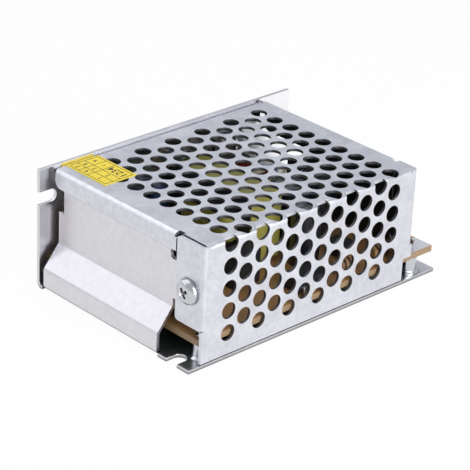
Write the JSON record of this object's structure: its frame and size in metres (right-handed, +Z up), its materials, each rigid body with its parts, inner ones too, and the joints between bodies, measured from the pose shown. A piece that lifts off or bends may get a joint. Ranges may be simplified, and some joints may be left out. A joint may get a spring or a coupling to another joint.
{
  "type": "mesh case switching power supply",
  "caption": "Small mains to low voltage switching power supply in a folded chassis with a perforated cover, screw terminals at one end and open mounting slots.",
  "frame": {"origin": "under the middle of the base, on the surface that the base rests on", "axes": "+X towards the terminal end, +Y towards the solid wall, +Z up; the perforated side faces -Y"},
  "size_m": [0.087, 0.0578, 0.033],
  "materials": {
    "galvanised_steel": "bright galvanised sheet, cold rolled, folded",
    "cover_steel": "galvanised perforated sheet, punched then folded",
    "plated_screw": "bright nickel plated steel",
    "stud_steel": "zinc plated steel stud, bright",
    "yellow_sticker": "printed vinyl sticker, semi gloss",
    "board_laminate": "tan phenolic paper laminate",
    "insulating_film": "translucent polyester film",
    "black_moulding": "black moulded thermoplastic",
    "tinned_brass": "tinned brass strip",
    "ferrite": "dark grey sintered ferrite",
    "yellow_tape": "yellow polyester tape",
    "bobbin_moulding": "very dark brown phenolic moulding",
    "aluminium_can": "drawn aluminium can",
    "dark_sleeve": "dark shrink sleeve",
    "dark_box": "dark moulded capacitor box",
    "blue_lacquer": "blue epoxy coating",
    "green_lacquer": "dark green coating",
    "copper_wire": "enamelled copper wire",
    "red_wire": "red enamelled copper wire",
    "cream_core": "cream coated iron powder ring",
    "fuse_brown": "brown moulded fuse body",
    "black_epoxy": "black epoxy package",
    "silicone_pad": "grey silicone pad",
    "resistor_body": "tan lacquered resistor",
    "green_lens": "green tinted lens",
    "blue_moulding": "blue moulded trimmer body",
    "white_rotor": "white moulded rotor"
  },
  "bodies": {
    "root": {"chassis": "galvanised_steel", "cover": "cover_steel", "cover_screw": "plated_screw", "label": "yellow_sticker", "insulating_sheet": "insulating_film", "circuit_board": "board_laminate", "standoffs": "stud_steel", "board_screws": "plated_screw", "terminal_housing": "black_moulding", "terminal_contacts": "tinned_brass", "transformer_core": "ferrite", "core_tape": "yellow_tape", "transformer_bobbin": "bobbin_moulding", "transformer_winding": "yellow_tape", "bulk_capacitor_can": "aluminium_can", "bulk_capacitor_sleeve": "dark_sleeve", "output_capacitor_cans": "aluminium_can", "output_capacitor_sleeves": "dark_sleeve", "x_capacitor": "dark_box", "y_capacitor": "blue_lacquer", "line_choke_core": "ferrite", "line_choke_bobbin": "black_moulding", "line_choke_windings": "copper_wire", "fuse": "fuse_brown", "thermistor": "green_lacquer", "bridge_rectifier": "black_epoxy", "switching_transistor": "black_epoxy", "output_rectifier": "black_epoxy", "transistor_pads": "silicone_pad", "transistor_screws": "plated_screw", "inductor_core": "cream_core", "inductor_winding": "red_wire", "control_chip": "black_epoxy", "optocoupler": "black_epoxy", "resistors": "resistor_body", "indicator_lamp": "green_lens", "trimmer_body": "blue_moulding"},
    "clamp_1": {"terminal_clamp_1": "stud_steel"},
    "screw_1": {"terminal_screw_1": "plated_screw"},
    "clamp_2": {"terminal_clamp_2": "stud_steel"},
    "screw_2": {"terminal_screw_2": "plated_screw"},
    "clamp_3": {"terminal_clamp_3": "stud_steel"},
    "screw_3": {"terminal_screw_3": "plated_screw"},
    "clamp_4": {"terminal_clamp_4": "stud_steel"},
    "screw_4": {"terminal_screw_4": "plated_screw"},
    "clamp_5": {"terminal_clamp_5": "stud_steel"},
    "screw_5": {"terminal_screw_5": "plated_screw"},
    "trimmer_rotor": {"trimmer_rotor": "white_rotor"}
  },
  "joints": [
    {"name": "clamp_lift_1", "type": "slide", "parent": "root", "child": "clamp_1", "axis": [0, 0, 1], "range_m": [0, 0.0025]},
    {"name": "screw_turn_1", "type": "hinge", "parent": "clamp_1", "child": "screw_1", "pos_m": [0.03935, -0.01615, 0.0125], "axis": [0, 0, 1], "range_deg": [0, 1800]},
    {"name": "clamp_lift_2", "type": "slide", "parent": "root", "child": "clamp_2", "axis": [0, 0, 1], "range_m": [0, 0.0025]},
    {"name": "screw_turn_2", "type": "hinge", "parent": "clamp_2", "child": "screw_2", "pos_m": [0.03935, -0.00865, 0.0125], "axis": [0, 0, 1], "range_deg": [0, 1800]},
    {"name": "clamp_lift_3", "type": "slide", "parent": "root", "child": "clamp_3", "axis": [0, 0, 1], "range_m": [0, 0.0025]},
    {"name": "screw_turn_3", "type": "hinge", "parent": "clamp_3", "child": "screw_3", "pos_m": [0.03935, -0.00115, 0.0125], "axis": [0, 0, 1], "range_deg": [0, 1800]},
    {"name": "clamp_lift_4", "type": "slide", "parent": "root", "child": "clamp_4", "axis": [0, 0, 1], "range_m": [0, 0.0025]},
    {"name": "screw_turn_4", "type": "hinge", "parent": "clamp_4", "child": "screw_4", "pos_m": [0.03935, 0.00635, 0.0125], "axis": [0, 0, 1], "range_deg": [0, 1800]},
    {"name": "clamp_lift_5", "type": "slide", "parent": "root", "child": "clamp_5", "axis": [0, 0, 1], "range_m": [0, 0.0025]},
    {"name": "screw_turn_5", "type": "hinge", "parent": "clamp_5", "child": "screw_5", "pos_m": [0.03935, 0.01385, 0.0125], "axis": [0, 0, 1], "range_deg": [0, 1800]},
    {"name": "trimmer_turn", "type": "hinge", "parent": "root", "child": "trimmer_rotor", "pos_m": [0.0397, 0.0236, 0.0092], "axis": [0, 0, 1], "range_deg": [-135, 135]}
  ],
  "couplings": [
    {"joint": "screw_turn_1", "follows": "clamp_lift_1", "rad_per_m": 12566},
    {"joint": "screw_turn_2", "follows": "clamp_lift_2", "rad_per_m": 12566},
    {"joint": "screw_turn_3", "follows": "clamp_lift_3", "rad_per_m": 12566},
    {"joint": "screw_turn_4", "follows": "clamp_lift_4", "rad_per_m": 12566},
    {"joint": "screw_turn_5", "follows": "clamp_lift_5", "rad_per_m": 12566}
  ]
}
